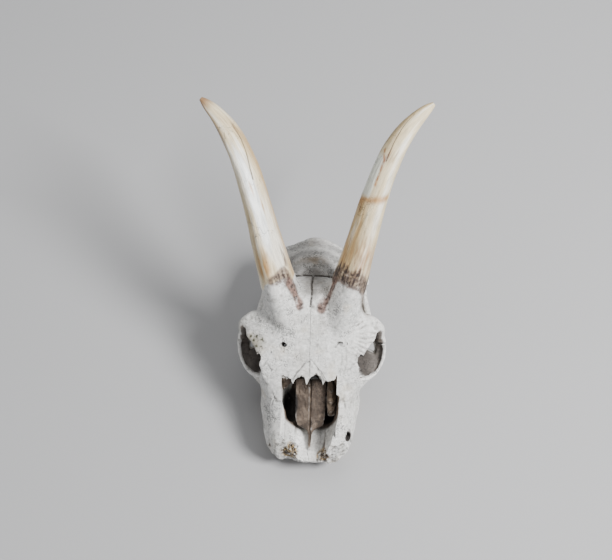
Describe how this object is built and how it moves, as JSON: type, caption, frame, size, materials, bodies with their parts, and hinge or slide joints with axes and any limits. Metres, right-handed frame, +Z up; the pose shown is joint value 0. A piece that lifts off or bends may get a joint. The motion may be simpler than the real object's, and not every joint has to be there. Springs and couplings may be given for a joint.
{
  "type": "goat skull",
  "caption": "Weathered skull of a young goat with long curved bone horn cores, open nose and eye sockets, and no lower jaw.",
  "frame": {"origin": "under the middle of the bounding box, on the surface that the skull lies on", "axes": "+X towards the animal's left, +Y from the broken muzzle to the back of the head, +Z up"},
  "size_m": [0.1658, 0.2012, 0.1923],
  "materials": {
    "bone": "dry, weathered bone",
    "horn_core": "worn, faintly polished bone",
    "stained_bone": "stained, porous bone"
  },
  "bodies": {
    "root": {"nasal_right": "bone", "nasal_left": "bone", "zygomatic_right": "bone", "zygomatic_left": "bone", "lacrimal_right": "bone", "lacrimal_left": "bone", "frontal_right": "bone", "frontal_left": "bone", "maxilla_right": "bone", "maxilla_left": "bone", "temporal_right": "bone", "temporal_left": "bone", "sphenoid": "bone", "parietal": "bone", "occipital": "bone", "horn_core_right": "horn_core", "horn_core_left": "horn_core", "vomer": "stained_bone", "turbinate": "stained_bone"}
  },
  "joints": []
}
